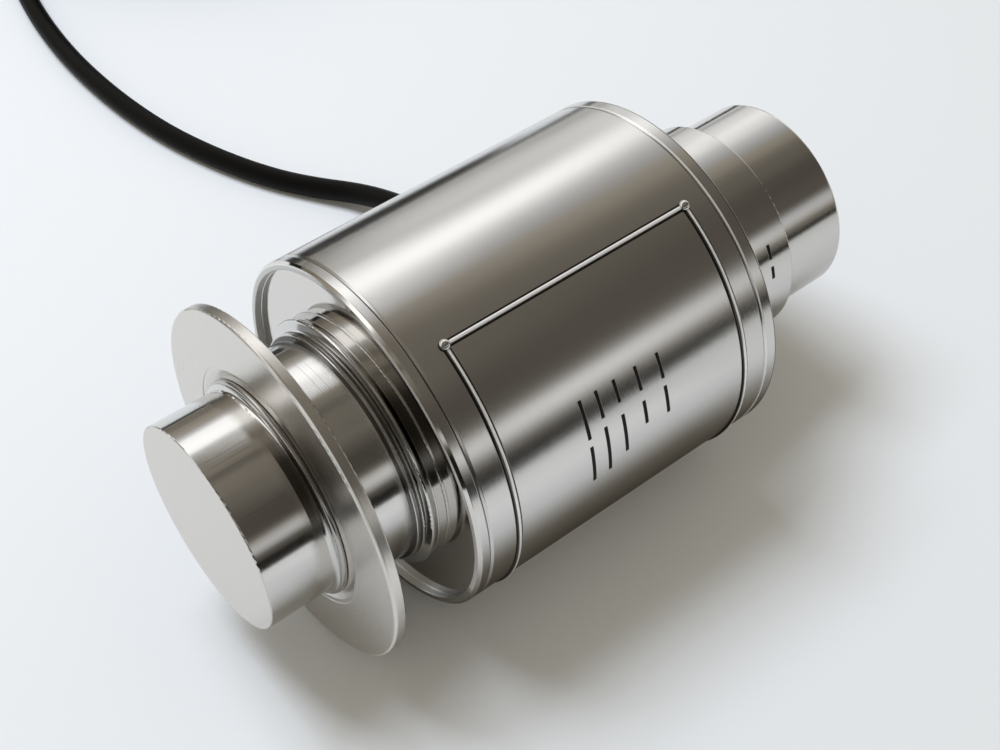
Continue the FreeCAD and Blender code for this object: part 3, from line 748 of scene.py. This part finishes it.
@dataclass
class CableRun:
    """The cable from the gland's sleeve through the coil to its free end.

    Lengths are in metres and angles in degrees. The cores fan out behind the end sleeve: core_fan
    holds pairs of distance and spacing.
    """

    diameter: float = 0.0055
    sleeve_tip: Vector = field(default_factory=lambda: Vector((0.027, 0.05934, 0.014775)))
    slope: float = 22.0
    first_run: float = 0.015
    route: Sequence[tuple[float, float, float]] = (
        (0.0243, 0.0895, 0.0043),
        (0.0155, 0.1023, 0.00275),
        (0.0086, 0.1130, 0.00275),
        (0.0020, 0.1280, 0.00275),
        (-0.0032, 0.1450, 0.00275),
        (-0.0063, 0.1640, 0.00275),
        (-0.0074, 0.1840, 0.00275),
        (-0.0066, 0.2020, 0.00275),
        (-0.0041, 0.2200, 0.00275),
        (0.0000, 0.2375, 0.0031),
        (0.0050, 0.2535, 0.00375),
    )
    lead_in: float = 0.029
    mid_radius: float = 0.0495
    pitch: float = 0.0056
    across: int = 6
    layers: int = 5
    points_a_turn: int = 16
    shift_share: float = 0.2
    tail_turn: int = 1
    tail_end: float = 280.0
    end_sleeve: float = 0.014
    core_fan: Sequence[Span] = ((0.0, 0.00072), (0.0084, 0.00144), (0.0168, 0.00336), (0.024, 0.00396))
    core_colours: Sequence[Colour] = (
        (0.50, 0.02, 0.015),
        (0.015, 0.015, 0.015),
        (0.62, 0.61, 0.58),
        (0.02, 0.24, 0.06),
        (0.03, 0.10, 0.42),
    )
    length: float = 9.7
    section_steps: int = 4
    curve_steps: int = 6
    jacket: Plain = Plain("cable_jacket_black", (0.004, 0.0036, 0.003), roughness=0.5, specular=0.1)
    nickel: Plain = Plain("gland_nickel", (0.62, 0.61, 0.58), roughness=0.25, metallic=1.0, grain_bump=0.02)
    rubber: Plain = Plain("gland_rubber", (0.02, 0.02, 0.02), roughness=0.6)
    tie_plastic: Plain = Plain("tie_plastic", (0.03, 0.03, 0.03), roughness=0.45)

    @property
    def inner_turn(self) -> float:
        """Radius of the innermost turn."""
        return self.mid_radius - (self.across - 1) * self.pitch / 2

    @property
    def outer_turn(self) -> float:
        """Radius of the outermost turn."""
        return self.mid_radius + (self.across - 1) * self.pitch / 2

    def centre(self) -> tuple[Vector, Vector]:
        """Finds where the coil lies.

        Returns:
            The coil's middle on the floor, and the cable's heading where it comes in.
        """
        before, last = Vector(self.route[-2]), Vector(self.route[-1])
        heading = (last - before).normalized()
        right = Vector((heading.y, -heading.x, 0.0))
        middle = last + heading * self.lead_in + right * self.outer_turn
        return Vector((middle.x, middle.y, 0.0)), heading

    def turns(self) -> list[Vector]:
        """The coil's points: each turn steps to its neighbour over its last share.

        A curve of order 3 runs inside the corners of its points, so stretch moves them outwards.

        Returns:
            The points from the first turn to the last.
        """
        middle, _ = self.centre()
        entry = Vector(self.route[-1]) - middle
        bottom = self.route[-1][2]
        start = math.atan2(entry.y, entry.x) - math.atan2(self.lead_in, self.outer_turn)
        stretch = 1 / (0.75 + 0.25 * math.cos(2 * math.pi / self.points_a_turn))
        points = []
        total = self.across * self.layers
        for step in range(total * self.points_a_turn):
            turn, place = divmod(step, self.points_a_turn)
            share = place / self.points_a_turn
            layer, column = divmod(turn, self.across)
            shift = max(0.0, (share - 1 + self.shift_share) / self.shift_share)
            shift = shift * shift * (3 - 2 * shift)
            last_of_layer = column == self.across - 1
            inward = layer % 2 == 0
            moved = column + (0.0 if last_of_layer else shift)
            radius = self.outer_turn - moved * self.pitch if inward else self.inner_turn + moved * self.pitch
            height = bottom + (layer + (shift if last_of_layer else 0.0)) * self.pitch
            angle = start - 2 * math.pi * (turn + share)
            radius *= stretch
            points.append(middle + Vector((radius * math.cos(angle), radius * math.sin(angle), height)))
        return points

    def tail(self, last: Vector) -> list[Vector]:
        """The loose tail that lies on the coil, from the last turn up to its shrink sleeve.

        Args:
            last: The coil's last point.

        Returns:
            The tail's points.
        """
        middle, _ = self.centre()
        height = self.route[-1][2] + self.layers * self.pitch
        outer = self.inner_turn + self.tail_turn * self.pitch
        begin = math.atan2(last.y - middle.y, last.x - middle.x)
        end = math.radians(self.tail_end)
        while end > begin:
            end -= 2 * math.pi
        steps = math.ceil((begin - end) / (2 * math.pi) * self.points_a_turn)
        points = []
        for step in range(1, steps + 1):
            angle = begin + (end - begin) * step / steps
            share = min(1.0, 2 * step / steps)
            radius = self.inner_turn + (outer - self.inner_turn) * share
            points.append(middle + Vector((radius * math.cos(angle), radius * math.sin(angle), height)))
        return points

    def build(self) -> bpy.types.Object:
        """Returns:
            The cable's object.
        """
        slope = math.radians(self.slope)
        out = Vector((0.0, math.cos(slope), -math.sin(slope)))
        points = [self.sleeve_tip, self.sleeve_tip + out * self.first_run]
        points += [Vector(point) for point in self.route]
        points += self.turns()
        points += self.tail(points[-1])
        curve = bpy.data.curves.new("cable_run", "CURVE")
        curve.dimensions = "3D"
        curve.bevel_depth = self.diameter / 2
        curve.bevel_resolution = self.section_steps
        curve.resolution_u = self.curve_steps
        curve.use_fill_caps = True
        spline = curve.splines.new("NURBS")
        spline.points.add(len(points) - 1)
        for target, point in zip(spline.points, points):
            target.co = (*point, 1.0)
        spline.order_u = 3
        spline.use_endpoint_u = True
        cable = bpy.data.objects.new("cable_run", curve)
        bpy.context.scene.collection.objects.link(cable)
        cable.data.materials.append(self.jacket.build())
        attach(cable, "root")
        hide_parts("cable", "cable_coil")
        log.info("cable built with %d points", len(points))
        return cable

    def core_finish(self) -> bpy.types.Material:
        """Makes the cores' insulation, one colour a core, told apart by their place across the fan.

        Returns:
            The material.
        """
        material, shader = new_material("core_insulation")
        middle, _ = self.centre()
        turn = math.radians(self.tail_end)
        radius = self.inner_turn + self.tail_turn * self.pitch
        heading = Vector((math.sin(turn), -math.cos(turn), 0.0))
        mouth = middle + Vector((math.cos(turn), math.sin(turn), 0.0)) * radius + heading * self.end_sleeve
        x, y, _ = shader.split(shader.point())
        x = x - mouth.x
        y = y - mouth.y
        along = x * heading.x + y * heading.y
        across = y * heading.x - x * heading.y
        spacing: Any = self.core_fan[0][1]
        for (start, narrow), (end, wide) in zip(self.core_fan, self.core_fan[1:]):
            spacing = ((along - start) / (end - start)).clamped() * (wide - narrow) + spacing
        count = len(self.core_colours)
        place = across / spacing / count + 0.5
        stops = [(index / count, colour) for index, colour in enumerate(self.core_colours)]
        colour = shader.ramp(place, stops, constant=True)
        cloud = shader.noise(shader.point(), 400.0)
        shader.surface(
            Base_Color=colour,
            Roughness=(cloud - 0.5) * 0.15 + 0.35,
            Normal=shader.bump(cloud, 0.05),
        )
        return material

    def dress(self) -> None:
        """Dresses the gland and the pieces on the cable."""
        nickel = self.nickel.build()
        rubber = self.rubber.build()
        for node in ("gland_body", "gland_nut", "conductor_ferrules"):
            dress(node, nickel)
        for node in ("gland_seal", "strain_relief", "inner_lead", "end_sleeve"):
            dress(node, rubber)
        dress("coil_ties", self.tie_plastic.build())
        dress("conductors", self.core_finish())


@dataclass
class InnerWorks:
    """What the sealed housing holds."""

    brass: Plain = Plain("fixing_brass", (0.72, 0.55, 0.28), roughness=0.3, metallic=1.0, grain_bump=0.02)
    wires: Plain = Plain("wire_insulation", (0.45, 0.09, 0.07), roughness=0.35)
    film: Plain = Plain("gauge_film", (0.55, 0.3, 0.08), roughness=0.3)
    laminate: Plain = Plain("board_laminate", (0.03, 0.18, 0.08), roughness=0.35)
    lacquer: Plain = Plain("resistor_lacquer", (0.2, 0.34, 0.5), roughness=0.35)

    def dress(self) -> None:
        """Dresses the hidden nodes."""
        brass = self.brass.build()
        wires = self.wires.build()
        for node in ("board_standoffs", "board_screws"):
            dress(node, brass)
        for node in ("gauge_leads", "lead_cores"):
            dress(node, wires)
        dress("strain_gauges", self.film.build())
        dress("terminal_board", self.laminate.build())
        dress("trim_resistors", self.lacquer.build())


@dataclass(frozen=True)
class Panorama:
    """What steel reflects where its reflections lean towards the far end by more than lean.

    Each band is an angle in degrees from straight up towards the front, a level and a warmth.
    The view changes over twice the soft width.
    """

    lean: float
    soft: float
    bands: Sequence[tuple[float, float, float]]

    def colour(self, shader: Shader, turn: Socket) -> Socket:
        """The colour at a turn of 0, for behind and below, over the top to 1."""
        stops = [((angle + 180) / 360, grey(level, warmth)) for angle, level, warmth in self.bands]
        return shader.ramp(turn, stops)


@dataclass
class Studio:
    """Floor, lamp, world and camera.

    What steel sees of the floor carries painted shade that depends on the place. It is darkest below the cell
    and rises to the front by near_floor, with distance, level and warmth. It is clearer beyond the cell's
    ends, and past the table's edges it turns into a painted dark reflection.
    """

    floor_colour: Colour = (0.80, 0.81, 0.82)
    floor_reach: float = 4.0
    # Lines past which glossy rays see a painted dark reflection instead of the floor
    table_front: float = 0.255
    front_slope: float = 0.5
    table_back: float = 0.43
    table_corner: float = 0.90
    corner_slope: float = 3.5
    table_end: float = 0.30
    # Painted shade in the floor as steel sees it: distance from the cell, level and warmth
    near_floor: Sequence[tuple[float, float, float]] = (
        (0.000, 0.26, 0.8), (0.034, 0.27, 0.8), (0.044, 0.38, 0.6), (0.057, 0.52, 0.4), (0.068, 0.69, 0.2),
        (0.079, 0.85, 0.0), (0.092, 0.95, 0.0), (0.110, 1.06, 0.0), (0.130, 1.15, 0.0),
    )
    # Where that painted shade clears beyond the cell's ends
    near_end: Span = (-0.03, -0.06)
    far_end: Span = (0.065, 0.09)
    end_clearness: float = 0.8
    # Colour of that painted dark reflection
    painted_dark_beyond_table: Colour = grey(0.012, 1.0)
    ambient: Colour = (0.47, 0.44, 0.375)
    seen_world: Colour = (0.86, 0.88, 0.90)
    key_place: tuple[float, float, float] = (-0.17, 0.46, 1.06)
    key_size: float = 0.5
    key_power: float = 10.8
    key_colour: Colour = (0.82, 0.89, 1.0)
    panoramas: Sequence[Panorama] = (
        Panorama(0.0, 0.01, (
            (-90, 0.21, 1), (-83, 0.22, 1), (-77, 0.33, 1), (-71, 0.38, 1), (-65, 0.5, 0.3), (-61, 0.75, 0),
            (-57, 1.42, 0), (-46, 1.55, 0), (-39, 1.45, 0), (-36, 0.62, 0), (-33, 0.48, 0), (-27, 0.32, 1),
            (-21, 0.19, 1), (-15, 0.27, 1), (-9, 0.27, 1), (-3, 0.14, 1), (4, 0.25, 1), (16, 0.22, 1),
            (22, 0.18, 1), (29, 0.155, 1), (41, 0.11, 1), (50, 0.095, 1), (63, 0.09, 1), (68, 0.16, 1),
            (72, 0.45, 0.3), (77, 0.62, 0), (81, 0.5, 0), (85, 0.13, 1), (92, 0.05, 1),
        )),
        Panorama(0.285, 0.01, (
            (-90, 0.10, 1), (-83, 0.165, 1), (-77, 0.18, 1), (-71, 0.34, 1), (-65, 0.47, 0.3), (-62, 0.75, 0),
            (-59, 1.35, 0), (-46, 1.55, 0), (-40, 1.45, 0), (-34, 1.35, 0), (-27, 1.35, 0), (-21, 0.98, 0),
            (-16, 0.25, 1), (-9, 0.18, 1), (-3, 0.125, 1), (4, 0.18, 1), (22, 0.18, 1), (28, 0.21, 1),
            (35, 0.145, 1), (41, 0.11, 1), (47, 0.06, 1), (62, 0.06, 1), (66, 0.13, 1), (71, 0.6, 0.3),
            (76, 0.66, 0), (80, 0.48, 0), (85, 0.09, 1), (92, 0.04, 1),
        )),
        Panorama(0.357, 0.01, (
            (-92, 0.5, 0), (-86, 0.68, 0), (-80, 0.77, 0), (-73, 0.84, 0), (-66, 0.72, 0), (-61, 0.82, 0),
            (-56, 1.15, 0), (-50, 1.55, 0), (-43, 1.52, 0), (-38, 1.05, 0), (-31, 0.66, 0), (-24, 0.46, 0),
            (-17, 0.37, 1), (-10, 0.31, 1), (-4, 0.215, 1), (3, 0.17, 1), (15, 0.15, 1), (28, 0.133, 1),
            (41, 0.11, 1), (55, 0.105, 1), (61, 0.13, 1), (66, 0.26, 0.5), (71, 0.9, 0), (76, 1.05, 0),
            (80, 0.72, 0), (84, 0.32, 0.5), (88, 0.10, 1), (92, 0.07, 1),
        )),
        Panorama(0.545, 0.04, (
            (-92, 0.5, 0), (-84, 0.85, 0), (-72, 1.02, 0), (-66, 1.15, 0), (-60, 1.23, 0), (-54, 1.1, 0),
            (-48, 0.97, 0), (-42, 0.85, 0), (-36, 0.68, 0), (-30, 0.57, 0), (-24, 0.45, 0), (-17, 0.37, 1),
            (-10, 0.31, 1), (-4, 0.215, 1), (3, 0.17, 1), (15, 0.14, 1), (24, 0.10, 1), (36, 0.09, 1),
            (52, 0.11, 1), (60, 0.11, 1), (64, 0.22, 0.5), (69, 0.52, 0), (75, 0.6, 0), (80, 0.48, 0.5),
            (85, 0.2, 1), (92, 0.1, 1),
        )),
    )
    camera_place: tuple[float, float, float] = (-0.14409, -0.17525, 0.28678)
    camera_forward: tuple[float, float, float] = (0.41419, 0.51598, -0.74981)
    focal_pixels: float = 1608.8
    picture_width: float = 1000.0
    sensor: float = 36.0

    def camera(self) -> None:
        """Sets the camera at the photograph's place."""
        data = bpy.data.cameras.new("camera")
        data.sensor_fit = "HORIZONTAL"
        data.sensor_width = self.sensor
        data.lens = self.focal_pixels / self.picture_width * self.sensor
        data.clip_start = 0.01
        camera = bpy.data.objects.new("camera", data)
        camera.location = self.camera_place
        camera.rotation_mode = "QUATERNION"
        camera.rotation_quaternion = Vector(self.camera_forward).to_track_quat("-Z", "Y")
        bpy.context.scene.collection.objects.link(camera)
        bpy.context.scene.camera = camera

    def floor(self) -> None:
        """Lays the pale floor; for glossy rays it carries painted shade close to the cell and turns into a
        painted dark reflection past the table's edges.
        """
        mesh = bpy.data.meshes.new("floor")
        shape = bmesh.new()
        bmesh.ops.create_grid(shape, x_segments=1, y_segments=1, size=self.floor_reach)
        shape.to_mesh(mesh)
        shape.free()
        floor = bpy.data.objects.new("floor", mesh)
        bpy.context.scene.collection.objects.link(floor)
        material, shader = new_material("floor_paper")
        x, y, _ = shader.split(shader.point())
        # Painted shade that only glossy rays see in the floor, darkest below the cell
        reach = self.near_floor[-1][0]
        stops = [(place / reach, grey(level, warmth)) for place, level, warmth in self.near_floor]
        close = shader.ramp(-y / reach, stops)
        ends = x.rise(*self.near_end).larger(x.rise(*self.far_end)) * self.end_clearness
        clear = y.above(0.0).larger(ends)
        glossy = shader.node("ShaderNodeLightPath", output="Is Glossy Ray")
        shade = shader.mix(clear, close, (1.0, 1.0, 1.0))
        shade = shader.mix(glossy, (1.0, 1.0, 1.0), shade)
        colour = shader.node(
            "ShaderNodeMix",
            {"data_type": "RGBA", "blend_type": "MULTIPLY"},
            {0: 1.0, 6: rgba(self.floor_colour), 7: shade},
            output=2,
        )
        paper = shader.node("ShaderNodeBsdfDiffuse", None, {"Color": colour})
        # Painted dark reflection that glossy rays see past the table's edges
        dark = shader.node("ShaderNodeEmission", None, {"Color": rgba(self.painted_dark_beyond_table)})
        corner = (x * self.corner_slope + y).above(self.table_corner) * y.above(0.0)
        behind = y.above(self.table_back).larger(corner) * x.below(self.table_end)
        ahead = (x * self.front_slope + y).below(-self.table_front)
        beyond = ahead.larger(behind) * glossy
        both = shader.node("ShaderNodeMixShader", None, {0: beyond, 1: paper, 2: dark})
        shader.node("ShaderNodeOutputMaterial", None, {0: both})
        mesh.materials.append(material)

    def world(self) -> None:
        """Lights matt surfaces evenly and gives steel its panoramas from the back over the top."""
        world = bpy.data.worlds.new("studio")
        world.use_nodes = True
        bpy.context.scene.world = world
        shader = Shader(world.node_tree)
        x, y, z = shader.split(shader.node("ShaderNodeTexCoord", output="Generated"))
        turn = (-y).bearing(z) / 360 + 0.5
        reflected = self.panoramas[0].colour(shader, turn)
        for panorama in self.panoramas[1:]:
            share = x.rise(panorama.lean - panorama.soft, panorama.lean + panorama.soft)
            reflected = shader.mix(share, reflected, panorama.colour(shader, turn))
        glossy = shader.node("ShaderNodeLightPath", output="Is Glossy Ray")
        seen = shader.node("ShaderNodeLightPath", output="Is Camera Ray")
        light = shader.mix(glossy, self.ambient, reflected)
        light = shader.mix(seen, light, self.seen_world)
        background = shader.node("ShaderNodeBackground", None, {"Color": light, "Strength": 1.0})
        shader.node("ShaderNodeOutputWorld", None, {0: background})

    def key_lamp(self) -> None:
        """Adds the square soft lamp behind and above the cell; it lights only matt surfaces."""
        data = bpy.data.lights.new("key", "AREA")
        data.size = self.key_size
        data.energy = self.key_power
        data.color = self.key_colour
        lamp = bpy.data.objects.new("key", data)
        lamp.location = self.key_place
        lamp.rotation_mode = "QUATERNION"
        lamp.rotation_quaternion = (-Vector(self.key_place)).to_track_quat("-Z", "Y")
        lamp.visible_glossy = False
        bpy.context.scene.collection.objects.link(lamp)

    def build(self) -> None:
        """Makes the whole studio."""
        self.camera()
        self.floor()
        self.world()
        self.key_lamp()
        bpy.context.scene.view_settings.view_transform = "Standard"
        log.info("studio built")


def main() -> None:
    """Builds the scene in order."""
    logging.basicConfig(level=logging.INFO, format="%(message)s")
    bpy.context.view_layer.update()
    Studio().build()
    cable = CableRun()
    cable.build()
    cable.dress()
    Cell().dress()
    InnerWorks().dress()


if __name__ == "__main__":
    main()
